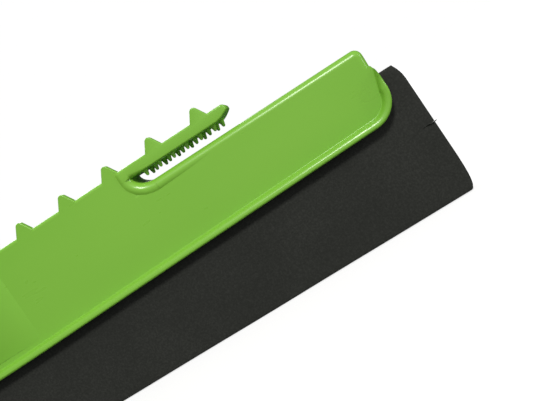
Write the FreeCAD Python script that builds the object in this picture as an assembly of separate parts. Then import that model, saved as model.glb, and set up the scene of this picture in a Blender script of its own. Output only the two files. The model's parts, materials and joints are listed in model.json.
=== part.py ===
"""Floor squeegee head: green one-piece holder, two spring clip arms and a two-strip foam blade.

Frame: X along the head, Z up from the blade's working edge to the pole socket, front face at -Y.
The origin is the middle of the working edge.  All sizes are in millimetres.
"""
import FreeCAD, Part
import math
import os

Vector = FreeCAD.Vector

# Foam blade
BLADE_HALF_LENGTH = 202.0
BLADE_TOP_Z = 54.7
STRIP_THICKNESS = 5.2
STRIP_GAP = 0.1                 # between the two strips' inner faces
BLADE_CORNER_X = 201.0          # the end leans in a little from the working edge up to this corner
BLADE_CORNER_Z = 48.0
BLADE_TOP_HALF_LENGTH = 198.9   # the top corners are trimmed off
BLADE_WORN_START_Z = 13.4       # below this height the end curves in to the working edge
BLADE_WORN_IN = 1.4

# Holder, seen from the front
SHOULDER_HALF_LENGTH = 192.3
RAIL_HALF_LENGTH = 96.4         # the toothed rail's ends are the closed ends of the clip slots
RAIL_Z = 76.2
SHOULDER_Z = 66.7               # top of the end parts, under the clip arms
SHOULDER_CORNER_RADIUS = 3.2
RIM_SLOPE = math.radians(1.6)   # the bottom rim rises towards each end
RIM_CORNER_X = 182.6
RIM_CORNER_Z = 49.2
RIM_CORNER_RADIUS = 11.0
RIM_STRAIGHT_START_X = 30.0
LIP_END_Z = 58.6
LIP_LEAN = ((193.3, 54.5), (192.9, 57.0))   # the end's outline leans in from the rim to the end wall
SLOT_CORNER_X = 7.5             # the slot's closed end is a quarter ellipse this long
SLOT_HEIGHT = 4.85

# Holder, in section
BODY_HALF_DEPTH = 7.75
WALL = 2.2
END_WALL = 2.2
LIP_WIDTH = 3.6
LIP_FLARE = 2.5
LIP_TAPER = 2.7                 # the lip runs out past the end wall by this much at its top
LIP_RADIUS = 0.9
# Each flare as (share of the lip's width in from the rim, share of the flare out from the panel)
LIP_PROFILE = ((1.0, 0.0), (0.93, 0.03), (0.85, 0.20), (0.80, 0.42), (0.74, 0.66), (0.6, 0.86),
               (0.42, 0.97), (0.25, 1.0), (0.0, 1.0), (-0.3, 1.0))
BELL_PROFILE = ((1.0, 0.0), (0.9, 0.06), (0.7, 0.38), (0.5, 0.68), (0.25, 0.87), (0.0, 1.0), (-0.3, 1.12))
RAIL_EDGE_RADIUS = 1.2
SHOULDER_EDGE_RADIUS = 2.6
STOP_RIB_X = (15.0, 50.0, 85.0, 120.0, 150.0, 180.0)
STOP_RIB_THICKNESS = 1.6
STOP_RIB_Z = BLADE_TOP_Z + 0.4
GRIP_RIDGE_HEIGHTS = (42.5, 46.5, 50.5)
GRIP_RIDGE_HEIGHT = 0.2
GRIP_RIDGE_WIDTH = 1.0

# Clip arms
CLIP_TIP_X = 141.2
CLIP_BOTTOM_Z = SHOULDER_Z + SLOT_HEIGHT
CLIP_HALF_DEPTH = 8.25
CLIP_HINGE_X = 97.4
CLIP_THICKNESS = RAIL_Z - CLIP_BOTTOM_Z
CLIP_HINGE_Z = CLIP_BOTTOM_Z + CLIP_THICKNESS / 2
CLIP_SEAT_CLEARANCE = 0.2
CLIP_TIP_RADIUS = 1.5
CLIP_TIP_FRONT_RADIUS = 1.2     # in plan
CLIP_TIP_REAR_RADIUS = 3.5
CLIP_LEAD_IN_X = 4.8
CLIP_LEAD_IN_Z = 2.3
CLIP_LEAD_IN_RADIUS = 4.0
CLIP_EDGE_RADIUS = 0.7
RIDGE_INSET = 2.7               # a raised ridge runs this far inside the edge of the slot's closed end
RIDGE_RADIUS = 2.8
RIDGE_TOP_Z = 73.8
RIDGE_FADE_LENGTH = 50.0        # along the shoulder it sinks into the face over this length
RIDGE_SINK = math.radians(1.2)
PIN_LENGTH = 2.4
PIN_ROOT_RADIUS = 0.95
PIN_TIP_RADIUS = 0.55
PIN_PITCH = 6.1
PIN_FIRST_X = 102.4
PIN_COUNT = 6
PIN_ROW_Y = 5.0

# Cloth teeth
RAIL_TEETH_X = (50.0, 70.0, 90.0)
CLIP_TEETH_X = (110.0, 130.0)
TOOTH_BASE = 7.3
TOOTH_APEX_HEIGHT = 6.0         # before the tip is rounded
TOOTH_THICKNESS = 2.3
TOOTH_TIP_RADIUS = 1.5
TOOTH_EDGE_RADIUS = 0.4

# Pole socket
SOCKET_TOP_Z = 118.0
SOCKET_RADIUS = 15.5
SOCKET_COLLAR_RADIUS = 16.7
SOCKET_COLLAR_HEIGHT = 6.0
SOCKET_BORE_RADIUS = 11.3
SOCKET_BORE_LENGTH = 18.0
SOCKET_FLOOR = 2.2              # thickness of plastic under the bore
THREAD_MAJOR_RADIUS = 11.0
THREAD_MINOR_RADIUS = 9.7
THREAD_PITCH = 5.0
THREAD_TURNS = 3
SWELL_HALF_LENGTH = 32.0
SWELL_BOTTOM_Z = 39.0
SWELL_NECK_Z = 97.0

FAR = 300.0                     # reach of a cutting shape past the part


def point(x, z, y=0.0):
    return Vector(x, y, z)


def line(a, b):
    return Part.LineSegment(a, b).toShape()


def arc(a, middle, b):
    return Part.Arc(a, middle, b).toShape()


def mirrored_x(p):
    return Vector(-p.x, p.y, p.z)


def box(x0, x1, y0, y1, z0, z1):
    return Part.makeBox(x1 - x0, y1 - y0, z1 - z0, Vector(x0, y0, z0))


def thickened(wire, y0, y1):
    """The solid between y0 and y1 whose front view is the wire drawn at y = 0."""
    face = Part.Face(wire)
    face.translate(Vector(0, y0, 0))
    return face.extrude(Vector(0, y1 - y0, 0))


def both_ends(shape):
    """The shape and its mirror image at the other end of the head."""
    return [shape, shape.mirror(Vector(0, 0, 0), Vector(1, 0, 0))]


def rim_edges(inset, y, end_points):
    """The bottom rim, right end to left end, as edges at depth y.

    inset moves the rim inwards.  end_points carry on upwards from the right corner's arc, and are
    mirrored at the left end.
    """
    radius = RIM_CORNER_RADIUS - inset
    low_x = RIM_CORNER_X + radius * math.sin(RIM_SLOPE)
    low = point(low_x, RIM_CORNER_Z - radius * math.cos(RIM_SLOPE), y)
    half = math.radians(-45) + RIM_SLOPE / 2
    middle = point(RIM_CORNER_X + radius * math.cos(half), RIM_CORNER_Z + radius * math.sin(half), y)
    side = point(RIM_CORNER_X + radius, RIM_CORNER_Z, y)
    rise = (low.x - RIM_STRAIGHT_START_X) * math.tan(RIM_SLOPE)
    start = point(RIM_STRAIGHT_START_X, low.z - rise, y)
    centre = point(0, start.z - RIM_STRAIGHT_START_X * math.tan(RIM_SLOPE) / 2, y)
    upper = [side] + [point(x, z, y) for x, z in end_points]
    right = [line(b, a) for a, b in zip(upper, upper[1:])][::-1]
    right += [arc(side, middle, low), line(low, start)]
    left = [line(mirrored_x(start), mirrored_x(low))]
    left += [arc(mirrored_x(low), mirrored_x(middle), mirrored_x(side))]
    left += [line(mirrored_x(a), mirrored_x(b)) for a, b in zip(upper, upper[1:])]
    return right + [arc(start, centre, mirrored_x(start))] + left


def slot_curve(outset, y):
    """The slot's closed end, a quarter ellipse, moved outwards by outset."""
    centre = point(RAIL_HALF_LENGTH + SLOT_CORNER_X, CLIP_BOTTOM_Z, y)
    side = point(RAIL_HALF_LENGTH - outset, CLIP_BOTTOM_Z, y)
    low = point(centre.x, SHOULDER_Z - outset, y)
    curve = Part.Ellipse(side, low, centre)
    return curve.toShape(0, math.pi / 2)


def body_outline():
    """The holder's front view without the socket: rim, ends, shoulders, slot ends and rail."""
    arc_low = (SHOULDER_HALF_LENGTH, SHOULDER_Z - SHOULDER_CORNER_RADIUS)
    rim = rim_edges(0, 0, list(LIP_LEAN) + [(SHOULDER_HALF_LENGTH, LIP_END_Z + 0.5), arc_low])
    diagonal = SHOULDER_CORNER_RADIUS * (1 - math.sqrt(0.5))
    corner_middle = point(SHOULDER_HALF_LENGTH - diagonal, SHOULDER_Z - diagonal)
    corner_end = point(SHOULDER_HALF_LENGTH - SHOULDER_CORNER_RADIUS, SHOULDER_Z)
    slot_low = point(RAIL_HALF_LENGTH + SLOT_CORNER_X, SHOULDER_Z)
    slot_high = point(RAIL_HALF_LENGTH, CLIP_BOTTOM_Z)
    rail_end = point(RAIL_HALF_LENGTH, RAIL_Z)
    right = [arc(point(*arc_low), corner_middle, corner_end), line(corner_end, slot_low),
             slot_curve(0, 0), line(slot_high, rail_end)]
    left = [edge.mirror(Vector(0, 0, 0), Vector(1, 0, 0)) for edge in right]
    return Part.Wire(Part.__sortEdges__(rim + right + left + [line(rail_end, mirrored_x(rail_end))]))


def flare_section(inset, y):
    """One section of the block that trims a face down to its flared lip."""
    lip_end_x = RIM_CORNER_X + RIM_CORNER_RADIUS - inset + LIP_TAPER
    edges = rim_edges(inset, y, [(lip_end_x, LIP_END_Z), (FAR, LIP_END_Z), (FAR, FAR)])
    edges.append(line(point(-FAR, FAR, y), point(FAR, FAR, y)))
    return Part.Wire(Part.__sortEdges__(edges))


def flare_block(face_y, profile):
    """Everything in front of a flared face: face_y on the panel, and further out at the rim."""
    sections = [flare_section(LIP_WIDTH * share, face_y + LIP_FLARE * out) for share, out in profile]
    return Part.makeLoft(sections, True)


def tooth(x, face_y):
    """A flat cloth tooth, flush with the front face, with a rounded tip and soft edges."""
    left = point(x - TOOTH_BASE / 2, RAIL_Z)
    right = point(x + TOOTH_BASE / 2, RAIL_Z)
    apex = point(x, RAIL_Z + TOOTH_APEX_HEIGHT)
    root_left = point(left.x, RAIL_Z - TOOTH_THICKNESS / 2)
    root_right = point(right.x, RAIL_Z - TOOTH_THICKNESS / 2)
    outline = Part.makePolygon([root_left, root_right, right, apex, left, root_left])
    plain = thickened(outline, face_y, face_y + TOOTH_THICKNESS)
    tip = [edge for edge in plain.Edges if edge.BoundBox.ZMin > RAIL_Z + TOOTH_APEX_HEIGHT / 2]
    rounded = plain.makeFillet(TOOTH_TIP_RADIUS, tip)
    above_rail = [edge for edge in rounded.Edges if edge.BoundBox.ZMax > RAIL_Z + 0.1]
    soft = [edge for edge in above_rail if edge.BoundBox.YLength < 0.01]
    return rounded.makeFillet(TOOTH_EDGE_RADIUS, soft)


def front_and_back(shape):
    """The shape and its mirror image on the other face."""
    return [shape, shape.mirror(Vector(0, 0, 0), Vector(0, 1, 0))]


def skirt_section(inset, y):
    """The skirt's front view moved in by inset, closed above the lip's end."""
    end_x = SHOULDER_HALF_LENGTH - inset
    lean = [(x - inset, z) for x, z in LIP_LEAN]
    edges = rim_edges(inset, y, lean + [(end_x, LIP_END_Z), (end_x, SHOULDER_Z)])
    high = point(end_x, SHOULDER_Z, y)
    edges.append(line(mirrored_x(high), high))
    return Part.Wire(Part.__sortEdges__(edges))


def skirt():
    """The lower part of the shell outside: flat faces that flare out into a lip with a rounded edge."""
    lip_y = BODY_HALF_DEPTH + LIP_FLARE
    sections = [skirt_section(0, lip_y - LIP_RADIUS)]
    for degrees in (30, 60, 90):
        angle = math.radians(degrees)
        inset = LIP_RADIUS * (1 - math.cos(angle))
        sections.append(skirt_section(inset, lip_y - LIP_RADIUS * (1 - math.sin(angle))))
    block = thickened(skirt_section(0, 0), 0, lip_y - LIP_RADIUS).fuse(Part.makeLoft(sections, True))
    block = block.common(box(-FAR, FAR, 0, FAR, 0, LIP_END_Z))
    block = block.cut(flare_block(BODY_HALF_DEPTH, LIP_PROFILE))
    front, back = front_and_back(block)
    return front.fuse(back)


def rail_block():
    """The toothed rail's block, rounded along its top and in plan at its ends."""
    block = box(-RAIL_HALF_LENGTH, RAIL_HALF_LENGTH, -BODY_HALF_DEPTH, BODY_HALF_DEPTH,
                LIP_END_Z - WALL, RAIL_Z)
    upright = [edge for edge in block.Edges if edge.BoundBox.ZLength > WALL]
    block = block.makeFillet(SHOULDER_EDGE_RADIUS, upright)
    top = [edge for edge in block.Edges if edge.BoundBox.ZMin > RAIL_Z - 0.01]
    return block.makeFillet(RAIL_EDGE_RADIUS, top)


def shoulder_block():
    """The right shoulder's block: a rounded corner, then soft edges along its top and down its end."""
    block = box(RAIL_HALF_LENGTH - WALL, SHOULDER_HALF_LENGTH, -BODY_HALF_DEPTH, BODY_HALF_DEPTH,
                LIP_END_Z - WALL, SHOULDER_Z)
    corner = []
    for edge in block.Edges:
        if edge.BoundBox.XMin > SHOULDER_HALF_LENGTH - 0.01 and edge.BoundBox.ZMin > SHOULDER_Z - 0.01:
            corner.append(edge)
    block = block.makeFillet(SHOULDER_CORNER_RADIUS, corner)
    soft = []
    for edge in block.Edges:
        reach = edge.BoundBox
        on_top = reach.ZMin > SHOULDER_Z - SHOULDER_CORNER_RADIUS - 0.01
        on_end = reach.XMin > SHOULDER_HALF_LENGTH - 0.01
        if reach.YLength < 0.01 and (on_top or on_end):
            soft.append(edge)
    return block.makeFillet(SHOULDER_EDGE_RADIUS, soft)


def shell_outside():
    """The holder's outer block: rail, shoulders and slot ends over a skirt flared towards the rim."""
    inside = BODY_HALF_DEPTH - WALL
    slot_end_x = RAIL_HALF_LENGTH + SLOT_CORNER_X
    near_slot = box(RAIL_HALF_LENGTH - WALL, slot_end_x, -inside, inside, LIP_END_Z, RAIL_Z)
    slot_end = thickened(body_outline(), -inside, inside).common(near_slot)
    return skirt().fuse([rail_block()] + both_ends(shoulder_block()) + both_ends(slot_end))


def edge_ridge():
    """The ridge on the right front: round the slot's closed end, then fading along the shoulder."""
    y = RIDGE_RADIUS - CLIP_HALF_DEPTH
    slot_top = point(RAIL_HALF_LENGTH - RIDGE_INSET, CLIP_BOTTOM_Z, y)
    top = point(slot_top.x, RIDGE_TOP_Z, y)
    slot_low = point(RAIL_HALF_LENGTH + SLOT_CORNER_X, SHOULDER_Z - RIDGE_INSET, y)
    fading = Vector(math.cos(RIDGE_SINK), math.sin(RIDGE_SINK), 0)
    bend = Part.Wire(slot_curve(RIDGE_INSET, y))
    section = Part.Wire(Part.Circle(slot_top, Vector(0, 0, 1), RIDGE_RADIUS).toShape())
    pieces = [Part.makeCylinder(RIDGE_RADIUS, top.z - slot_top.z, slot_top),
              Part.makeSphere(RIDGE_RADIUS, top),
              bend.makePipeShell([section], True, True),
              Part.makeCylinder(RIDGE_RADIUS, RIDGE_FADE_LENGTH, slot_low, fading)]
    within = thickened(body_outline(), -CLIP_HALF_DEPTH - 1, 0)
    return [piece.common(within) for piece in pieces]


def channel_cuts():
    """What is cut from the holder for the blade: a channel open below and at both ends, with its bell."""
    inside = BODY_HALF_DEPTH - WALL
    slot = box(-FAR, FAR, -inside, inside, -FAR, LIP_END_Z)
    end_part = box(-SHOULDER_HALF_LENGTH + END_WALL, SHOULDER_HALF_LENGTH - END_WALL,
                   -inside, inside, 0, SHOULDER_Z - WALL)
    clip_root = RAIL_HALF_LENGTH - 3 * WALL
    middle = box(-clip_root, clip_root, -inside, inside, 0, RAIL_Z - WALL)
    past_end = 1.25 * BLADE_HALF_LENGTH
    belled = box(-past_end, past_end, -inside - LIP_FLARE, inside + LIP_FLARE, -LIP_END_Z, LIP_END_Z)
    belled = belled.cut(front_and_back(flare_block(inside, BELL_PROFILE)))
    return [slot, end_part, middle, belled]


def channel_ribs():
    """Ribs that stop the blade's top edge, and long ridges that grip its faces."""
    inside = BODY_HALF_DEPTH - WALL
    ribs = []
    for x in STOP_RIB_X:
        top = SHOULDER_Z - WALL / 2 if x > RAIL_HALF_LENGTH else RAIL_Z - WALL / 2
        rib = box(x - STOP_RIB_THICKNESS / 2, x + STOP_RIB_THICKNESS / 2,
                  -inside - WALL / 2, inside + WALL / 2, STOP_RIB_Z, top)
        ribs += both_ends(rib)
    half = RIM_CORNER_X
    for z in GRIP_RIDGE_HEIGHTS:
        for side in (-1, 1):
            wall = side * (inside + GRIP_RIDGE_HEIGHT)
            corners = [Vector(-half, wall, z - GRIP_RIDGE_WIDTH), Vector(-half, wall, z + GRIP_RIDGE_WIDTH),
                       Vector(-half, side * (inside - GRIP_RIDGE_HEIGHT), z)]
            ridge = Part.Face(Part.makePolygon(corners + corners[:1]))
            ribs.append(ridge.extrude(Vector(2 * half, 0, 0)))
    return ribs


def barrel_section(half_depth, z):
    """A level section of the socket's swell: straight ends, and faces bowed out to half_depth."""
    side, face = SWELL_HALF_LENGTH, BODY_HALF_DEPTH
    corners = [Vector(side, -face, z), Vector(side, face, z),
               Vector(-side, face, z), Vector(-side, -face, z)]
    return Part.Wire([line(corners[0], corners[1]), arc(corners[1], Vector(0, half_depth, z), corners[2]),
                      line(corners[2], corners[3]), arc(corners[3], Vector(0, -half_depth, z), corners[0])])


def round_section(radius, z):
    """A level circle cut into four arcs that meet the corners of the barrel section."""
    spread = math.atan2(BODY_HALF_DEPTH, SWELL_HALF_LENGTH) + math.radians(20)
    angles = [-spread, 0, spread, math.pi / 2, math.pi - spread, math.pi, math.pi + spread, 1.5 * math.pi]
    places = [Vector(radius * math.cos(a), radius * math.sin(a), z) for a in angles]
    places.append(places[0])
    return Part.Wire([arc(*places[i:i + 3]) for i in range(0, 8, 2)])


def socket_swell():
    """The swell in both of the holder's faces that leads up to the pole socket."""
    return Part.makeLoft([barrel_section(BODY_HALF_DEPTH + 0.2, SWELL_BOTTOM_Z),
                          barrel_section(SOCKET_RADIUS, RAIL_Z)], True, True)


def socket_outside():
    """The pole socket's outside: a neck that narrows from the swell into a collared round tube."""
    low = barrel_section(SOCKET_RADIUS, RAIL_Z)
    neck = Part.makeLoft([low, round_section(SOCKET_RADIUS, SWELL_NECK_Z)], True, True)
    tube = Part.makeCylinder(SOCKET_RADIUS, SOCKET_TOP_Z - SWELL_NECK_Z, Vector(0, 0, SWELL_NECK_Z))
    collar = Part.makeCylinder(SOCKET_COLLAR_RADIUS, SOCKET_COLLAR_HEIGHT,
                               Vector(0, 0, SOCKET_TOP_Z - SOCKET_COLLAR_HEIGHT))
    collar = collar.makeFillet(0.8, [edge for edge in collar.Edges if len(edge.Vertexes) == 1])
    return neck.fuse([tube, collar])


def socket_bore():
    """The bore for the pole: a plain mouth over a slightly narrower threaded length."""
    mouth_z = SOCKET_TOP_Z - SOCKET_BORE_LENGTH
    mouth = Part.makeCylinder(SOCKET_BORE_RADIUS, SOCKET_BORE_LENGTH, Vector(0, 0, mouth_z))
    floor_z = RAIL_Z + SOCKET_FLOOR
    threaded = Part.makeCylinder(THREAD_MAJOR_RADIUS, mouth_z - floor_z, Vector(0, 0, floor_z))
    return mouth.fuse(threaded)


def socket_thread():
    """The helical ridge that the pole's coarse thread runs on."""
    length = THREAD_PITCH * THREAD_TURNS
    start_z = SOCKET_TOP_Z - SOCKET_BORE_LENGTH - length - THREAD_PITCH / 2
    path = Part.makeHelix(THREAD_PITCH, length, THREAD_MAJOR_RADIUS)
    foot = THREAD_MAJOR_RADIUS + 0.4
    corners = [Vector(foot, 0, -1.3), Vector(THREAD_MINOR_RADIUS, 0, -0.5),
               Vector(THREAD_MINOR_RADIUS, 0, 0.5), Vector(foot, 0, 1.3)]
    profile = Part.makePolygon(corners + corners[:1])
    ridge = Part.Wire(path.Edges).makePipeShell([profile], True, True)
    ridge.translate(Vector(0, 0, start_z))
    return ridge


def clip_seat():
    """The round pocket in the holder that the right clip arm's root turns in."""
    seat = Part.makeCylinder(CLIP_THICKNESS / 2 + CLIP_SEAT_CLEARANCE, 2 * FAR,
                             Vector(CLIP_HINGE_X, -FAR, CLIP_HINGE_Z), Vector(0, 1, 0))
    return seat


def holder_body():
    ridges = []
    for piece in edge_ridge():
        for end in both_ends(piece):
            ridges += front_and_back(end)
    body = shell_outside().fuse(ridges + [socket_swell()])
    for hollow in channel_cuts():
        body = body.cut(hollow)
    teeth = []
    for x in RAIL_TEETH_X:
        teeth += both_ends(tooth(x, -BODY_HALF_DEPTH))
    return body.fuse(channel_ribs() + teeth).cut(both_ends(clip_seat()))


def pole_socket():
    return socket_outside().cut(socket_bore()).fuse(socket_thread())


def clip_plan():
    """A block round the right clip arm whose tip is rounded in plan, more at the rear than in front."""
    block = box(CLIP_HINGE_X - CLIP_THICKNESS, CLIP_TIP_X, -CLIP_HALF_DEPTH, CLIP_HALF_DEPTH,
                CLIP_BOTTOM_Z - 1, RAIL_Z + 1)
    for side, radius in ((-1, CLIP_TIP_FRONT_RADIUS), (1, CLIP_TIP_REAR_RADIUS)):
        corner = []
        for edge in block.Edges:
            reach = edge.BoundBox
            at_tip = reach.ZLength > 1 and reach.XMin > CLIP_TIP_X - 0.01
            if at_tip and side * reach.YMin > CLIP_HALF_DEPTH - 0.01:
                corner.append(edge)
        block = block.makeFillet(radius, corner)
    return block


def clip_arm_bar():
    """The right clip arm without its teeth and pins."""
    radius = CLIP_THICKNESS / 2
    tip_top = point(CLIP_TIP_X, RAIL_Z)
    nose = point(CLIP_TIP_X, CLIP_BOTTOM_Z + CLIP_LEAD_IN_Z)
    slope = math.atan2(CLIP_LEAD_IN_Z, CLIP_LEAD_IN_X)
    bend = CLIP_LEAD_IN_RADIUS * math.tan(slope / 2)
    bend_start = point(CLIP_TIP_X - CLIP_LEAD_IN_X - bend, CLIP_BOTTOM_Z)
    bend_middle = point(bend_start.x + CLIP_LEAD_IN_RADIUS * math.sin(slope / 2),
                        CLIP_BOTTOM_Z + CLIP_LEAD_IN_RADIUS * (1 - math.cos(slope / 2)))
    bend_end = point(bend_start.x + CLIP_LEAD_IN_RADIUS * math.sin(slope),
                     CLIP_BOTTOM_Z + CLIP_LEAD_IN_RADIUS * (1 - math.cos(slope)))
    root_low = point(CLIP_HINGE_X, CLIP_BOTTOM_Z)
    root_top = point(CLIP_HINGE_X, RAIL_Z)
    root = arc(root_low, point(CLIP_HINGE_X - radius, CLIP_HINGE_Z), root_top)
    outline = Part.Wire([line(root_top, tip_top), line(tip_top, nose), line(nose, bend_end),
                         arc(bend_end, bend_middle, bend_start), line(bend_start, root_low), root])
    bar = thickened(outline, -CLIP_HALF_DEPTH, CLIP_HALF_DEPTH)
    tip = []
    for edge in bar.Edges:
        if edge.BoundBox.XMin > CLIP_TIP_X - 0.01 and edge.BoundBox.ZMin > RAIL_Z - 0.01:
            tip.append(edge)
    bar = bar.makeFillet(CLIP_TIP_RADIUS, tip)
    soft = [edge for edge in bar.Edges if edge.BoundBox.YLength < 0.01]
    return bar.makeFillet(CLIP_EDGE_RADIUS, soft).common(clip_plan())


def clip_pin(x, y):
    """One tapered round-ended pin under the clip arm."""
    root_z = CLIP_BOTTOM_Z + PIN_ROOT_RADIUS
    tip_z = CLIP_BOTTOM_Z - PIN_LENGTH + PIN_TIP_RADIUS
    down = Vector(0, 0, -1)
    shank = Part.makeCone(PIN_ROOT_RADIUS, PIN_TIP_RADIUS, root_z - tip_z, Vector(x, y, root_z), down)
    return shank.fuse(Part.makeSphere(PIN_TIP_RADIUS, Vector(x, y, tip_z)))


def clip_pins():
    """Three rows of pins; the middle row stands half a pitch further out."""
    pins = []
    for number in range(PIN_COUNT):
        x = PIN_FIRST_X + number * PIN_PITCH
        pins += [clip_pin(x, -PIN_ROW_Y), clip_pin(x + PIN_PITCH / 2, 0), clip_pin(x, PIN_ROW_Y)]
    return pins


def right_clip_arm():
    arm = clip_arm_bar()
    teeth = [tooth(x, -CLIP_HALF_DEPTH) for x in CLIP_TEETH_X]
    return arm.fuse(teeth + clip_pins())


def blade_strip(front_y):
    """One foam strip of the blade, from front_y backwards."""
    half = BLADE_HALF_LENGTH
    side_low = point(half, BLADE_WORN_START_Z)
    side_high = point(BLADE_CORNER_X, BLADE_CORNER_Z)
    top = point(BLADE_TOP_HALF_LENGTH, BLADE_TOP_Z)
    bottom = point(half - BLADE_WORN_IN, 0)
    worn = Part.BezierCurve()
    worn.setPoles([side_low, point(half, 0.37 * BLADE_WORN_START_Z),
                   point(half - 0.15 * BLADE_WORN_IN, 0.08 * BLADE_WORN_START_Z), bottom])
    right = [line(top, side_high), line(side_high, side_low), worn.toShape()]
    left = [edge.mirror(Vector(0, 0, 0), Vector(1, 0, 0)) for edge in right]
    across = [line(bottom, mirrored_x(bottom)), line(top, mirrored_x(top))]
    outline = Part.Wire(Part.__sortEdges__(right + left + across))
    return thickened(outline, front_y, front_y + STRIP_THICKNESS)


def build_nodes():
    right_arm = right_clip_arm()
    return {
        "holder_body": holder_body(),
        "pole_socket": pole_socket(),
        "right_clip_arm": right_arm,
        "left_clip_arm": both_ends(right_arm)[1],
        "front_foam_strip": blade_strip(-STRIP_GAP / 2 - STRIP_THICKNESS),
        "rear_foam_strip": blade_strip(STRIP_GAP / 2),
    }


os.makedirs("parts", exist_ok=True)
for name, shape in build_nodes().items():
    solids = shape.Solids
    body = solids[0] if len(solids) == 1 else Part.makeCompound(solids)
    body.exportStep("parts/" + name + ".step")
    size = body.BoundBox
    print(name, len(solids), body.isValid(), round(body.Volume),
          [round(v, 2) for v in (size.XMin, size.XMax, size.YMin, size.YMax, size.ZMin, size.ZMax)])
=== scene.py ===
"""Looks for the floor squeegee head: studio, glossy green plastic, clip arms and a foam blade."""
import bpy
import json
import math
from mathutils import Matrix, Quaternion, Vector, noise


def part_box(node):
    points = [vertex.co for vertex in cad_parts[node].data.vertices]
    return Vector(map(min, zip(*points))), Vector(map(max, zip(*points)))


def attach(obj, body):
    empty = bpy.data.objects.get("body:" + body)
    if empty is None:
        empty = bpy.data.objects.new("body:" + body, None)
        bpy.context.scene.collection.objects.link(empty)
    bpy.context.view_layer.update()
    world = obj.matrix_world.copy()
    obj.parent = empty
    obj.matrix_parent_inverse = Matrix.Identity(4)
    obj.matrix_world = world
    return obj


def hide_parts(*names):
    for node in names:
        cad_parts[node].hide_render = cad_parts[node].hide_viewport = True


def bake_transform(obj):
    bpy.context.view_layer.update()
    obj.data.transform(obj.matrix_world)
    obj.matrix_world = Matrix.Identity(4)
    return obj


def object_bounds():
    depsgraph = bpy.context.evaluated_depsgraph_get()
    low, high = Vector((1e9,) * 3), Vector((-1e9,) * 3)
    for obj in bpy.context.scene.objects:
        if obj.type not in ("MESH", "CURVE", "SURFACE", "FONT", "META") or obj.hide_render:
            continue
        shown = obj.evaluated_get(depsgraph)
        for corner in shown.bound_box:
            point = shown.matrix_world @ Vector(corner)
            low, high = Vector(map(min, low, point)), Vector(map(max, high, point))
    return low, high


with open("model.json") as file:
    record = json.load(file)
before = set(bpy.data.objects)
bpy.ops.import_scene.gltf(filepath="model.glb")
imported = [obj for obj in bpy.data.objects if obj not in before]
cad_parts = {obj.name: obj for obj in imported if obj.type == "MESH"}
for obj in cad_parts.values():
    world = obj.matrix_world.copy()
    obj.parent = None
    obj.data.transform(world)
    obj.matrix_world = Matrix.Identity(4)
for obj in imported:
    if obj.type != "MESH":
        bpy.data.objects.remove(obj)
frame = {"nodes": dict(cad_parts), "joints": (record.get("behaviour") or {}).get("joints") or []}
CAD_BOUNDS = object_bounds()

MM = 0.001
SMOOTH_BELOW = 35               # degrees; edges sharper than this stay hard

# Camera, in the row frame
CAMERA_PLACE = Vector((0.1598, -0.2281, 0.0562))
CAMERA_HEADING = 6.39           # degrees to the left of +Y
CAMERA_PITCH = -4.83            # degrees above the horizon
CAMERA_ROLL = -32.78            # degrees
CAMERA_SENSOR = 36.0            # its width in mm
CAMERA_LENS = 40.57             # in mm, on that sensor
CAMERA_NEAR = 0.01

# Green plastic: noise scales are per metre, and ramps are (place, level) stops
FLOW_STRETCH = (0.5, 1, 1.4)
FLOW_SCALE = 13
FLOW_COLOURS = [(0.3, (0.166, 0.418, 0.033)), (0.7, (0.202, 0.468, 0.044))]
WEAR_STRETCH = (0.5, 1, 1.6)
WEAR_SCALE = 90
WEAR_ROUGHNESS = [(0.3, 0.27), (0.7, 0.33)]
PEEL_SCALE = 420
PEEL_HEIGHT = 0.004 * MM
WAVE_STRETCH = (0.5, 1, 1)
WAVE_SCALE = 38
WAVE_HEIGHT = 0.10 * MM
PLASTIC_IOR = 1.49

# Charcoal foam
SPECKLE_SCALE = 1300
SPECKLE_SHARE = 0.75            # of the colour's variation; blotches are the rest
SPECKLE_HEIGHT = 0.035 * MM
BLOTCH_SCALE = 45
FOAM_COLOURS = [(0.36, (0.0150, 0.0164, 0.0138)), (0.52, (0.0198, 0.0214, 0.0184)),
                (0.66, (0.0275, 0.0292, 0.0255))]
FOAM_ROUGHNESS = 0.85
FOAM_SPECULAR = 0.25
DIMPLE_SCALE = 380
DIMPLE_HEIGHT = 0.06 * MM

# Clip arm shape, in metres
ARM_EDGE_RADIUS = 0.7 * MM
ARM_ROOT_EDGE_RADIUS = 1.1 * MM
ARM_ROOT_REACH = 5.35 * MM      # how far the root runs into the holder past the hinge
ARM_PROUD = 0.02 * MM           # the root's faces cover the holder's seat by this much
ARM_PROUD_FADE = 6 * MM         # and fall back to the arm's own faces over this length
ARM_LEAST_RADIUS = 0.02 * MM
ARM_RADIUS_SHARE = 0.45         # an edge's radius is at most this share of the arm's height
RIDGE_REACH = 3.7 * MM          # from the hinge back to the crest of the ridge round the slot's end
RIDGE_RADIUS = 2.8 * MM
RIDGE_INSET = 2.7 * MM          # from the crest on to the slot's closed end
ARM_EASE_LENGTH = 7 * MM
ARM_TIP_RADIUS = 2.0 * MM
ARM_TIP_PLAN_RADII = {-1: 2.2 * MM, 1: 8.5 * MM}    # front and rear corner
ARM_LEAD_IN_X = 4.8 * MM
ARM_LEAD_IN_Z = 2.3 * MM
ARM_LEAD_IN_RADIUS = 9.0 * MM
ARM_CORNER_STEPS = 5
ARM_STATION_STEP = 1.5 * MM
ARM_ROOT_STEPS = 8
ARM_APPROACH = 1.6 * ARM_LEAD_IN_X      # before the tip, where the stations get closer together
ARM_APPROACH_STEPS = 14
ARM_TIP_STEPS = 12

# Pins under the arm
PIN_ROOT_RADIUS = 1.05 * MM
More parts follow.
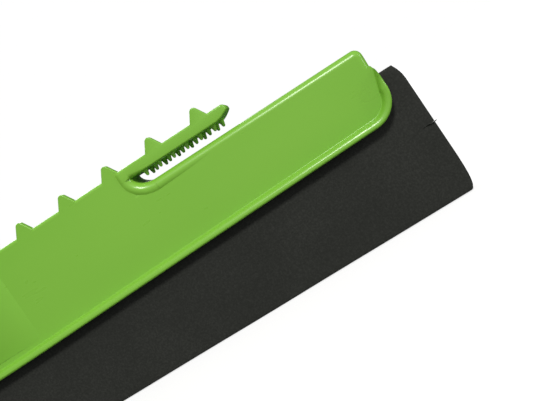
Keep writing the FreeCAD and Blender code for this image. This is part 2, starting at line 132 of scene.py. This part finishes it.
# Its fillet: share of that radius, and depth below the arm
PIN_ROOT_FILLET = ((1.5, -0.5 * MM), (1.3, 0.02 * MM), (1.08, 0.15 * MM), (1.0, 0.4 * MM))
PIN_TIP_RADIUS = 0.66 * MM
PIN_TIP_STEPS = 4
PIN_TIP_FLAT = 0.08             # share of the tip radius that is closed flat
PIN_PITCH = 6.1 * MM
PIN_START = 5.0 * MM            # first pin's distance from the hinge
PIN_COUNT = 6
PIN_ROW_Y = 5.0 * MM
PIN_SIDES = 14

# Teeth on the arm
TOOTH_PLACES = (12.6 * MM, 32.6 * MM)    # from the hinge
TOOTH_BASE = 7.3 * MM
TOOTH_APEX_HEIGHT = 6.0 * MM
TOOTH_THICKNESS = 2.3 * MM
TOOTH_TIP_RADIUS = 1.5 * MM
TOOTH_ARC_STEPS = 10
TOOTH_EDGE_RADIUS = 0.4 * MM
TOOTH_EDGE_STEPS = 4
TOOTH_SINK = 0.98 * ARM_EDGE_RADIUS      # below the arm's top

# Foam blade shape, in metres
FOAM_CELL = 1.5 * MM
FOAM_EDGE_RADIUS = 0.45 * MM
FOAM_EDGE_SHARES = (0.0, 0.08, 0.25, 0.55, 1.0)     # mesh lines on the rounded edge
FOAM_CORNER_IN = 1.0 * MM       # how far each end leans in up to its upper corner
FOAM_CORNER_DOWN = 6.7 * MM
FOAM_TOP_IN = 3.1 * MM
FOAM_TOP_CURVE = 1.8            # exponent
FOAM_WORN_HEIGHT = 13.4 * MM
FOAM_WORN_IN = 1.4 * MM
FOAM_WORN_CURVE = 4             # exponent
FOAM_CORNER_RADIUS = 1.2 * MM   # lower corners, as worn
FOAM_NICK_Z = 29.0 * MM
FOAM_NICK_DEPTH = 5.5 * MM
FOAM_NICK_HALF_HEIGHT = 0.30 * MM
FOAM_NICK_CLEAR = 3             # half heights of the cut that are kept free of other mesh rows
FOAM_END_REACH = 14 * MM        # the end's outline fades into straight columns over this length
FOAM_END_FADE = 1.5             # exponent
FOAM_END_PROUD = 0.25 * MM      # the soft ends stand past their nominal length by this much at the top
FOAM_FOOT_PROUD = 0.98 * MM     # and by this much at the working edge
FOOT_WAVE_HEIGHT = 0.30 * MM    # the working edge's waviness
FOOT_WAVE_SCALE = 22
FOOT_WAVE_REACH = 12 * MM
FOOT_WAVE_SHIFT = 3.0           # the shifts give each strip its own noise
FACE_HOLLOW_DEPTH = 0.10 * MM   # soft hollows in the outer faces
FACE_HOLLOW_SCALE = 35
FACE_HOLLOW_SHIFT = 7.0
FACE_GRAIN_DEPTH = 0.05 * MM    # and finer unevenness
FACE_GRAIN_SCALE = 260
FACE_GRAIN_SHIFT = 11.0

# Loose fibre in the cut
FIBRE_RADIUS = 0.24 * MM
FIBRE_ROOT_IN = 2.4 * MM        # from the blade's end
FIBRE_ROOT_PROUD = 0.05 * MM    # in front of the blade's face
FIBRE_ROOT_UP = 0.3 * MM        # above the cut's middle
FIBRE_ROUTE = ((0, 0, 0), (1.6, -0.15, -0.25), (3.3, -0.1, -0.05))      # in mm from its root
FIBRE_THICKNESS = (1.0, 1.0, 0.5)

# Studio: name, direction from the object, distance, size in metres, power in watts, colour
STUDIO_LIGHTS = (
    ("key", (0.20, -0.76, 0.66), 1.5, (0.24, 0.24), 16.5, (1.0, 0.98, 0.94)),
    ("right_strip", (0.95, -0.20, 0.20), 1.2, (0.08, 0.50), 2.2, (1.0, 1.0, 1.0)),
    ("back_fill", (-0.35, 0.75, 0.65), 1.6, (1.2, 1.0), 17.0, (1.0, 1.0, 1.0)),
)
ROOM_TOWARDS = (0.35, -0.70, 0.62)      # the room is brightest this way
ROOM_LEVELS = [(0.0, 0.04), (0.42, 0.06), (0.72, 0.42), (1.0, 0.64)]
ROOM_STRENGTH = 1.0
GLOW_REACH = 10.0               # metres that a glow's stops span
FLOOR_RADIUS = 7.0
FLOOR_SIDES = 64
FLOOR_DROP = 0.2 * MM           # below the object
FLOOR_ALBEDO = 0.30
FLOOR_GLOW = [(0.0, 0.74), (0.035, 0.75), (0.15, 1.0), (1.0, 1.0)]
DOME_RADIUS = 8.0
DOME_RINGS = 24
DOME_SIDES = 48
DOME_ALBEDO = 0.01
DOME_GLOW = [(0.0, 1.0), (1.0, 1.0)]
STAGE_MOTTLE_SCALE = 3
STAGE_MOTTLE = 0.97             # the darker patches' share of the albedo


# ---------------------------------------------------------------- materials

def new_material(name):
    """A material with an empty node tree, its Principled shader and its output."""
    material = bpy.data.materials.new(name)
    material.use_nodes = True
    tree = material.node_tree
    tree.nodes.clear()
    output = tree.nodes.new("ShaderNodeOutputMaterial")
    shader = tree.nodes.new("ShaderNodeBsdfPrincipled")
    tree.links.new(shader.outputs["BSDF"], output.inputs["Surface"])
    return material, tree, shader


def object_coordinates(tree):
    return tree.nodes.new("ShaderNodeTexCoord").outputs["Object"]


def noise_value(tree, vector, scale, detail, roughness=0.5):
    node = tree.nodes.new("ShaderNodeTexNoise")
    node.inputs["Scale"].default_value = scale
    node.inputs["Detail"].default_value = detail
    node.inputs["Roughness"].default_value = roughness
    tree.links.new(vector, node.inputs["Vector"])
    return node.outputs["Fac"]


def ramp(tree, value, stops):
    """A colour ramp; stops are (place, colour) pairs, a colour being a grey level or three numbers."""
    node = tree.nodes.new("ShaderNodeValToRGB")
    points = node.color_ramp.elements
    while len(points) < len(stops):
        points.new(0.5)
    for element, (place, colour) in zip(points, stops):
        element.position = place
        rgb = (colour,) * 3 if isinstance(colour, (int, float)) else colour
        element.color = (*rgb, 1)
    tree.links.new(value, node.inputs["Fac"])
    return node.outputs["Color"]


def maths(tree, operation, *values):
    node = tree.nodes.new("ShaderNodeMath")
    node.operation = operation
    for socket, value in zip(node.inputs, values):
        if isinstance(value, (int, float)):
            socket.default_value = value
        else:
            tree.links.new(value, socket)
    return node.outputs["Value"]


def bump(tree, height, distance, below=None):
    """A bump of this height in metres, on top of the bump below it."""
    node = tree.nodes.new("ShaderNodeBump")
    node.inputs["Strength"].default_value = 1.0
    node.inputs["Distance"].default_value = distance
    tree.links.new(height, node.inputs["Height"])
    if below is not None:
        tree.links.new(below, node.inputs["Normal"])
    return node.outputs["Normal"]


def stretched(tree, vector, scale):
    node = tree.nodes.new("ShaderNodeMapping")
    node.inputs["Scale"].default_value = scale
    tree.links.new(vector, node.inputs["Vector"])
    return node.outputs["Vector"]


def green_plastic():
    """Glossy moulded polypropylene: faint colour flow, soft waviness, orange peel and light wear."""
    material, tree, shader = new_material("green_polypropylene")
    place = object_coordinates(tree)
    flow = noise_value(tree, stretched(tree, place, FLOW_STRETCH), FLOW_SCALE, 2)
    tree.links.new(ramp(tree, flow, FLOW_COLOURS), shader.inputs["Base Color"])
    wear = noise_value(tree, stretched(tree, place, WEAR_STRETCH), WEAR_SCALE, 3, 0.6)
    tree.links.new(ramp(tree, wear, WEAR_ROUGHNESS), shader.inputs["Roughness"])
    peel = bump(tree, noise_value(tree, place, PEEL_SCALE, 1), PEEL_HEIGHT)
    waves = noise_value(tree, stretched(tree, place, WAVE_STRETCH), WAVE_SCALE, 1)
    tree.links.new(bump(tree, waves, WAVE_HEIGHT, peel), shader.inputs["Normal"])
    shader.inputs["IOR"].default_value = PLASTIC_IOR
    return material


def blade_foam():
    """Matte charcoal closed-cell foam: a fine speckle of open cells over soft blotches."""
    material, tree, shader = new_material("charcoal_foam")
    place = object_coordinates(tree)
    speckle = noise_value(tree, place, SPECKLE_SCALE, 2, 0.7)
    blotches = noise_value(tree, place, BLOTCH_SCALE, 3)
    mixed = maths(tree, "ADD", maths(tree, "MULTIPLY", speckle, SPECKLE_SHARE),
                  maths(tree, "MULTIPLY", blotches, 1 - SPECKLE_SHARE))
    tree.links.new(ramp(tree, mixed, FOAM_COLOURS), shader.inputs["Base Color"])
    shader.inputs["Roughness"].default_value = FOAM_ROUGHNESS
    shader.inputs["Specular IOR Level"].default_value = FOAM_SPECULAR
    fine = bump(tree, speckle, SPECKLE_HEIGHT)
    dimples = noise_value(tree, place, DIMPLE_SCALE, 2)
    tree.links.new(bump(tree, dimples, DIMPLE_HEIGHT, fine), shader.inputs["Normal"])
    return material


def glowing(name, albedo, stops):
    """A pale, matte stage material that also glows; stops give the glow by distance from the middle."""
    material, tree, shader = new_material(name)
    place = object_coordinates(tree)
    shade = noise_value(tree, place, STAGE_MOTTLE_SCALE, 2)
    colour = ramp(tree, shade, [(0.3, STAGE_MOTTLE * albedo), (0.7, albedo)])
    tree.links.new(colour, shader.inputs["Base Color"])
    length = tree.nodes.new("ShaderNodeVectorMath")
    length.operation = "LENGTH"
    tree.links.new(place, length.inputs[0])
    glow = ramp(tree, maths(tree, "MULTIPLY", length.outputs["Value"], 1 / GLOW_REACH), stops)
    tree.links.new(glow, shader.inputs["Emission Color"])
    shader.inputs["Emission Strength"].default_value = 1.0
    shader.inputs["Roughness"].default_value = 1.0
    shader.inputs["Specular IOR Level"].default_value = 0.0
    return material


# ---------------------------------------------------------------- meshes

def new_piece(name, points, faces, material):
    mesh = bpy.data.meshes.new(name)
    mesh.from_pydata([tuple(p) for p in points], [], faces)
    mesh.validate()
    mesh.materials.append(material)
    mesh.polygons.foreach_set("use_smooth", [True] * len(mesh.polygons))
    mesh.set_sharp_from_angle(angle=math.radians(SMOOTH_BELOW))
    piece = bpy.data.objects.new(name, mesh)
    bpy.context.scene.collection.objects.link(piece)
    return piece


class Builder:
    """Collects closed shells of rings into one list of points and faces."""

    def __init__(self):
        self.points = []
        self.faces = []

    def loft(self, rings):
        """Joins closed rings of the same length, and caps the first and the last."""
        start = len(self.points)
        count = len(rings[0])
        for ring in rings:
            self.points.extend(ring)
        for row in range(len(rings) - 1):
            for i in range(count):
                a = start + row * count + i
                b = start + row * count + (i + 1) % count
                self.faces.append((a, b, b + count, a + count))
        self.faces.append(tuple(range(start + count - 1, start - 1, -1)))
        last = start + (len(rings) - 1) * count
        self.faces.append(tuple(range(last, last + count)))


def quarter_turn(start, step, steps):
    """Cosine and sine of a step on the quarter circle that begins at this angle."""
    angle = start + math.pi / 2 * step / steps
    return math.cos(angle), math.sin(angle)


# ---------------------------------------------------------------- clip arms

class ArmShape:
    """The right clip arm's measures, from the frame."""

    def __init__(self):
        joint = next(j for j in frame["joints"] if j["name"] == "right_clip_flex")
        self.hinge = Vector(joint["pos_m"])
        low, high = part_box("right_clip_arm")
        half = self.hinge.x - low.x
        self.bottom = self.hinge.z - half
        self.top = self.hinge.z + half
        self.tip = high.x
        self.half_depth = high.y
        self.pin_tip = low.z
        self.root = self.hinge.x - ARM_ROOT_REACH
        self.crest = self.hinge.x - RIDGE_REACH

    def underside(self, x):
        """Height of the arm's lower face, which turns up in a lead-in near the tip."""
        slope = math.atan2(ARM_LEAD_IN_Z, ARM_LEAD_IN_X)
        start = self.tip - ARM_LEAD_IN_X - ARM_LEAD_IN_RADIUS * math.tan(slope / 2)
        end = start + ARM_LEAD_IN_RADIUS * math.sin(slope)
        if x <= start:
            return self.bottom
        if x <= end:
            return self.bottom + ARM_LEAD_IN_RADIUS - math.sqrt(ARM_LEAD_IN_RADIUS ** 2 - (x - start) ** 2)
        return self.bottom + ARM_LEAD_IN_Z - (self.tip - x) * math.tan(slope)

    def topside(self, x):
        """Height of the arm's upper face, rounded at the tip."""
        past = max(0.0, x - (self.tip - ARM_TIP_RADIUS))
        return self.top - ARM_TIP_RADIUS + math.sqrt(max(0.0, ARM_TIP_RADIUS ** 2 - past ** 2))

    def depth(self, x, side):
        """Half depth at x on the front (-1) or the rear (1).

        It follows the ridge's curve at the root, and the plan's rounded corner at the tip.
        """
        if x < self.crest:
            rise = math.sqrt(RIDGE_RADIUS ** 2 - (self.crest - x) ** 2)
            return self.half_depth + ARM_PROUD - RIDGE_RADIUS + rise
        proud = ARM_PROUD * max(0.0, 1 - (x - self.crest) / ARM_PROUD_FADE)
        radius = ARM_TIP_PLAN_RADII[side]
        past_tip = max(0.0, x - (self.tip - radius))
        return self.half_depth + proud - radius + math.sqrt(max(0.0, radius ** 2 - past_tip ** 2))

    def low_radius(self, x):
        """Radius of the lower edges.

        They bend with the ridge where it turns into the slot, and then ease off.
        """
        past = x - self.crest
        if past < RIDGE_INSET:
            return ARM_LEAST_RADIUS + RIDGE_RADIUS - math.sqrt(RIDGE_RADIUS ** 2 - max(0.0, past) ** 2)
        widest = RIDGE_RADIUS - math.sqrt(RIDGE_RADIUS ** 2 - RIDGE_INSET ** 2)
        share = min(1.0, (past - RIDGE_INSET) / ARM_EASE_LENGTH)
        return widest + (ARM_EDGE_RADIUS - widest) * share

    def section(self, x):
        """A rounded rectangle across the arm at x."""
        share = min(1.0, max(0.0, (x - self.crest) / ARM_PROUD_FADE))
        low = self.underside(x)
        high = self.topside(x) + ARM_PROUD * (1 - share)
        top_radius = ARM_ROOT_EDGE_RADIUS + (ARM_EDGE_RADIUS - ARM_ROOT_EDGE_RADIUS) * share
        ring = []
        for corner, (side, level) in enumerate(((1, 1), (-1, 1), (-1, -1), (1, -1))):
            radius = min(top_radius if level > 0 else self.low_radius(x), ARM_RADIUS_SHARE * (high - low))
            centre_y = side * (self.depth(x, side) - radius)
            centre_z = high - radius if level > 0 else low + radius
            for step in range(ARM_CORNER_STEPS + 1):
                c, s = quarter_turn(corner * math.pi / 2, step, ARM_CORNER_STEPS)
                ring.append(Vector((x, centre_y + radius * c, centre_z + radius * s)))
        return ring

    def stations(self):
        """Places along the arm, closer together on the root's curve and round the tip."""
        slot_end = self.crest + RIDGE_INSET
        fine_from = self.tip - ARM_APPROACH
        fine_to = self.tip - ARM_TIP_RADIUS
        steps = ARM_ROOT_STEPS
        places = [self.root + (self.crest - self.root) * i / steps for i in range(steps)]
        places += [self.crest + RIDGE_INSET * i / steps for i in range(steps)]
        steps = round((fine_from - self.crest) / ARM_STATION_STEP)
        places += [slot_end + (fine_from - slot_end) * i / steps for i in range(steps)]
        steps = ARM_APPROACH_STEPS
        places += [fine_from + (fine_to - fine_from) * i / steps for i in range(steps)]
        for step in range(ARM_TIP_STEPS + 1):
            places.append(fine_to + ARM_TIP_RADIUS * math.sin(math.pi / 2 * step / ARM_TIP_STEPS))
        return places


def add_tooth(builder, x, rail_z, face_y):
    """A flat cloth tooth with a rounded tip and soft edges.

    It stands where the arm's edge starts to round off, so that the two faces run together.
    """
    slope = math.atan2(TOOTH_BASE / 2, TOOTH_APEX_HEIGHT)
    centre_z = rail_z + TOOTH_APEX_HEIGHT - TOOTH_TIP_RADIUS / math.sin(slope)
    foot_z = rail_z - TOOTH_SINK

    def ring(inset, y):
        radius = TOOTH_TIP_RADIUS - inset
        run = (centre_z + radius * math.sin(slope) - foot_z) / math.cos(slope)
        foot_x = radius * math.cos(slope) + run * math.sin(slope)
        shape = [Vector((x + foot_x, y, foot_z))]
        for step in range(TOOTH_ARC_STEPS + 1):
            angle = slope + (math.pi - 2 * slope) * step / TOOTH_ARC_STEPS
            shape.append(Vector((x + radius * math.cos(angle), y, centre_z + radius * math.sin(angle))))
        shape.append(Vector((x - foot_x, y, foot_z)))
        return shape

    edge = TOOTH_EDGE_RADIUS
    turns = [quarter_turn(0, step, TOOTH_EDGE_STEPS) for step in range(TOOTH_EDGE_STEPS + 1)]
    rings = [ring(edge * (1 - s), face_y + edge * (1 - c)) for c, s in turns]
    rings += [ring(edge * (1 - c), face_y + TOOTH_THICKNESS - edge * (1 - s)) for c, s in turns]
    builder.loft(rings)


def add_pin(builder, x, y, root_z, tip_z):
    """One tapered pin with a filleted root and a round tip."""
    profile = [(PIN_ROOT_RADIUS * share, root_z - down) for share, down in PIN_ROOT_FILLET]
    shoulder = tip_z + PIN_TIP_RADIUS
    for step in range(PIN_TIP_STEPS):
        c, s = quarter_turn(0, step, PIN_TIP_STEPS)
        profile.append((PIN_TIP_RADIUS * c, shoulder - PIN_TIP_RADIUS * s))
    profile.append((PIN_TIP_FLAT * PIN_TIP_RADIUS, tip_z))
    rings = []
    for radius, z in profile:
        ring = []
        for i in range(PIN_SIDES):
            angle = -2 * math.pi * i / PIN_SIDES
            ring.append(Vector((x + radius * math.cos(angle), y + radius * math.sin(angle), z)))
        rings.append(ring)
    builder.loft(rings)


def clip_arm(shape, side, material):
    """A clip arm with its teeth and pins in one mesh; side is 1 for the right end and -1 for the left."""
    builder = Builder()
    builder.loft([shape.section(x) for x in shape.stations()])
    for place in TOOTH_PLACES:
        add_tooth(builder, shape.hinge.x + place, shape.top, -shape.half_depth)
    for number in range(PIN_COUNT):
        x = shape.hinge.x + PIN_START + number * PIN_PITCH
        for pin_x, y in ((x, -PIN_ROW_Y), (x + PIN_PITCH / 2, 0), (x, PIN_ROW_Y)):
            add_pin(builder, pin_x, y, shape.underside(pin_x), shape.pin_tip)
    name = "right_clip" if side > 0 else "left_clip"
    points = [Vector((side * p.x, p.y, p.z)) for p in builder.points]
    faces = builder.faces if side > 0 else [face[::-1] for face in builder.faces]
    piece = new_piece(name + "_arm_moulding", points, faces, material)
    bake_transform(piece)
    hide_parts(name + "_arm")


# ---------------------------------------------------------------- foam blade

def end_in(z, top, nick):
    """How far the blade's end stands in from its widest line at height z."""
    corner_z = top - FOAM_CORNER_DOWN
    if z < FOAM_WORN_HEIGHT:
        share = 1 - z / FOAM_WORN_HEIGHT
        inset = FOAM_WORN_IN * share ** FOAM_WORN_CURVE
    elif z < corner_z:
        inset = FOAM_CORNER_IN * (z - FOAM_WORN_HEIGHT) / (corner_z - FOAM_WORN_HEIGHT)
    else:
        share = (z - corner_z) / FOAM_CORNER_DOWN
        inset = FOAM_CORNER_IN + (FOAM_TOP_IN - FOAM_CORNER_IN) * share ** FOAM_TOP_CURVE
    inset -= FOAM_END_PROUD + (FOAM_FOOT_PROUD - FOAM_END_PROUD) * (1 - z / top)
    below = max(0.0, FOAM_CORNER_RADIUS - z)
    inset += FOAM_CORNER_RADIUS - math.sqrt(FOAM_CORNER_RADIUS ** 2 - below ** 2)
    if nick:
        inset += FOAM_NICK_DEPTH * max(0.0, 1 - abs(z - FOAM_NICK_Z) / FOAM_NICK_HALF_HEIGHT)
    return inset


def mesh_lines(start, end):
    """Places between two edges: close together on the rounded edges, and in even cells between them."""
    extent = (end - start) / 2
    places = [FOAM_EDGE_RADIUS * share for share in FOAM_EDGE_SHARES]
    rounded = places[-1]
    count = round((extent - rounded) / FOAM_CELL)
    places += [rounded + (extent - rounded) * (i + 1) / count for i in range(count)]
    return [start + d for d in places] + [end - d for d in places[-2::-1]]


def mesh_rows(top):
    """Heights of the strip's mesh rows, with three of them on the cut."""
    clear = FOAM_NICK_CLEAR * FOAM_NICK_HALF_HEIGHT
    rows = [z for z in mesh_lines(0.0, top) if abs(z - FOAM_NICK_Z) > clear]
    return sorted(rows + [FOAM_NICK_Z + FOAM_NICK_HALF_HEIGHT * s for s in (-1, 0, 1)])


def edge_fall(distance):
    """How far the face falls back on the rounded edge at this distance from the outline."""
    past = max(0.0, FOAM_EDGE_RADIUS - distance)
    return FOAM_EDGE_RADIUS - math.sqrt(max(0.0, FOAM_EDGE_RADIUS ** 2 - past ** 2))


def unevenness(*place):
    """Smooth noise from about 0 to 1."""
    return 0.5 + 0.5 * noise.noise(Vector(place))


def foam_point(x, z, face, outer, low, high):
    """A point on the front (-1) or rear (1) face of a strip, from its place on the plain block."""
    top = high.z
    to_end = high.x - abs(x)
    pull = max(0.0, 1 - to_end / FOAM_END_REACH) ** FOAM_END_FADE
    place_x = x - end_in(z, top, x > 0) * pull * (1 if x > 0 else -1)
    wave = FOOT_WAVE_HEIGHT * unevenness(place_x * FOOT_WAVE_SCALE, outer * FOOT_WAVE_SHIFT, 0)
    lift = wave * max(0.0, 1 - z / FOOT_WAVE_REACH) ** 2
    fall = edge_fall(min(to_end, z, top - z))
    if face == outer:
        scale = FACE_HOLLOW_SCALE
        hollow = unevenness(place_x * scale, z * scale, outer * FACE_HOLLOW_SHIFT)
        scale = FACE_GRAIN_SCALE
        grain = unevenness(place_x * scale, z * scale, outer * FACE_GRAIN_SHIFT)
        fall += FACE_HOLLOW_DEPTH * hollow + FACE_GRAIN_DEPTH * grain
    y = (low.y + high.y) / 2 + face * ((high.y - low.y) / 2 - fall)
    return Vector((place_x, y, z + lift))


def sheet_faces(width, height):
    """Faces of two sheets of width by height points, and of the rim that joins them."""
    sheet = width * height
    faces = []
    for row in range(height - 1):
        for i in range(width - 1):
            a = row * width + i
            front = (a, a + 1, a + 1 + width, a + width)
            faces.append(front)
            faces.append(tuple(v + sheet for v in front[::-1]))
    rim = list(range(width))
    rim += [row * width + width - 1 for row in range(1, height)]
    rim += [(height - 1) * width + i for i in range(width - 2, -1, -1)]
    rim += [row * width for row in range(height - 2, 0, -1)]
    for a, b in zip(rim, rim[1:] + rim[:1]):
        faces.append((b, a, a + sheet, b + sheet))
    return faces


def foam_strip(name, node, outer, material):
    """One foam layer: softly uneven faces, rounded edges, worn ends and a small cut in the right end.

    outer is the side that shows, -1 for the front layer and 1 for the rear one.
    """
    low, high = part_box(node)
    columns = mesh_lines(-high.x, high.x)
    rows = mesh_rows(high.z)
    points = [foam_point(x, z, face, outer, low, high) for face in (-1, 1) for z in rows for x in columns]
    piece = new_piece(name, points, sheet_faces(len(columns), len(rows)), material)
    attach(piece, "blade")
    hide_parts(node)


def loose_fibre(material):
    """A short fibre that stands out of the cut in the foam's right end."""
    low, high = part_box("front_foam_strip")
    root = Vector((high.x - FIBRE_ROOT_IN, low.y - FIBRE_ROOT_PROUD, FOAM_NICK_Z + FIBRE_ROOT_UP))
    curve = bpy.data.curves.new("foam_fibre", "CURVE")
    curve.dimensions = "3D"
    curve.bevel_depth = FIBRE_RADIUS
    curve.bevel_resolution = 2
    curve.use_fill_caps = True
    spline = curve.splines.new("BEZIER")
    spline.bezier_points.add(len(FIBRE_ROUTE) - 1)
    for handle, step, thickness in zip(spline.bezier_points, FIBRE_ROUTE, FIBRE_THICKNESS):
        handle.co = root + Vector(step) * MM
        handle.radius = thickness
        handle.handle_left_type = "AUTO"
        handle.handle_right_type = "AUTO"
    curve.materials.append(material)
    piece = bpy.data.objects.new("foam_fibre", curve)
    bpy.context.scene.collection.objects.link(piece)
    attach(piece, "blade")


# ---------------------------------------------------------------- studio

def area_light(name, place, target, size, power, colour):
    data = bpy.data.lights.new(name, "AREA")
    data.shape = "RECTANGLE"
    data.size, data.size_y = size
    data.energy = power
    data.color = colour
    light = bpy.data.objects.new(name, data)
    light.location = place
    light.rotation_euler = (target - place).to_track_quat("-Z", "Y").to_euler()
    light.visible_camera = False
    bpy.context.scene.collection.objects.link(light)


def seen_only(piece, shadow):
    """Makes a piece part of the stage: the camera sees it, and it adds no light to the object."""
    piece.visible_diffuse = False
    piece.visible_glossy = False
    piece.visible_transmission = False
    piece.visible_shadow = shadow


def room_light():
    """A world that is bright in front and above, and dark behind and below."""
    world = bpy.data.worlds.new("studio_room")
    bpy.context.scene.world = world
    world.use_nodes = True
    tree = world.node_tree
    split = tree.nodes.new("ShaderNodeSeparateXYZ")
    tree.links.new(tree.nodes.new("ShaderNodeTexCoord").outputs["Generated"], split.inputs["Vector"])
    front = maths(tree, "MULTIPLY", split.outputs["Y"], ROOM_TOWARDS[1])
    side = maths(tree, "MULTIPLY", split.outputs["X"], ROOM_TOWARDS[0])
    above = maths(tree, "MULTIPLY", split.outputs["Z"], ROOM_TOWARDS[2])
    facing = maths(tree, "ADD", maths(tree, "ADD", front, side), above)
    level = ramp(tree, maths(tree, "MULTIPLY_ADD", facing, 0.5, 0.5), ROOM_LEVELS)
    tree.links.new(level, tree.nodes["Background"].inputs["Color"])
    tree.nodes["Background"].inputs["Strength"].default_value = ROOM_STRENGTH


def dome(material):
    """A closed sphere of quads and triangles round the scene."""
    points = [Vector((0, 0, -DOME_RADIUS)), Vector((0, 0, DOME_RADIUS))]
    for row in range(1, DOME_RINGS):
        lift = -math.pi / 2 + math.pi * row / DOME_RINGS
        level = math.cos(lift)
        for i in range(DOME_SIDES):
            turn = 2 * math.pi * i / DOME_SIDES
            outward = Vector((level * math.cos(turn), level * math.sin(turn), math.sin(lift)))
            points.append(DOME_RADIUS * outward)
    faces = []
    last = 2 + (DOME_RINGS - 2) * DOME_SIDES
    for i in range(DOME_SIDES):
        j = (i + 1) % DOME_SIDES
        faces.append((0, 2 + j, 2 + i))
        faces.append((1, last + i, last + j))
        for row in range(DOME_RINGS - 2):
            a = 2 + row * DOME_SIDES
            faces.append((a + i, a + j, a + DOME_SIDES + j, a + DOME_SIDES + i))
    return new_piece("studio_backdrop", points, faces, material)


def floor_disc(material):
    ring = []
    for i in range(FLOOR_SIDES):
        turn = 2 * math.pi * i / FLOOR_SIDES
        ring.append(Vector((FLOOR_RADIUS * math.cos(turn), FLOOR_RADIUS * math.sin(turn), 0)))
    return new_piece("studio_floor", ring, [tuple(range(FLOOR_SIDES))], material)


def studio():
    low, high = CAD_BOUNDS
    middle = (Vector(low) + Vector(high)) / 2
    for name, direction, distance, size, power, colour in STUDIO_LIGHTS:
        area_light(name, middle + distance * Vector(direction).normalized(), middle, size, power, colour)
    room_light()
    floor = floor_disc(glowing("pale_floor", FLOOR_ALBEDO, FLOOR_GLOW))
    floor.location.z = low[2] - FLOOR_DROP
    seen_only(floor, shadow=True)
    backdrop = dome(glowing("white_backdrop", DOME_ALBEDO, DOME_GLOW))
    seen_only(backdrop, shadow=False)
    view = bpy.context.scene.view_settings
    view.view_transform = "Standard"
    view.look = "None"


def photo_camera():
    heading = math.radians(CAMERA_HEADING)
    pitch = math.radians(CAMERA_PITCH)
    level = math.cos(pitch)
    ahead = Vector((-math.sin(heading) * level, math.cos(heading) * level, math.sin(pitch)))
    data = bpy.data.cameras.new("photo_camera")
    data.lens = CAMERA_LENS
    data.sensor_width = CAMERA_SENSOR
    data.clip_start = CAMERA_NEAR
    camera = bpy.data.objects.new("photo_camera", data)
    camera.rotation_mode = "QUATERNION"
    turn = ahead.to_track_quat("-Z", "Y")
    camera.rotation_quaternion = turn @ Quaternion((0, 0, 1), math.radians(CAMERA_ROLL))
    camera.location = CAMERA_PLACE
    bpy.context.scene.collection.objects.link(camera)
    bpy.context.scene.camera = camera


# ---------------------------------------------------------------- the object

photo_camera()
studio()

green = green_plastic()
foam = blade_foam()
for node_name in ("holder_body", "pole_socket"):
    node = frame["nodes"][node_name]
    node.data.materials.clear()
    node.data.materials.append(green)

arm_shape = ArmShape()
clip_arm(arm_shape, 1, green)
clip_arm(arm_shape, -1, green)
foam_strip("front_foam_layer", "front_foam_strip", -1, foam)
foam_strip("rear_foam_layer", "rear_foam_strip", 1, foam)
loose_fibre(foam)
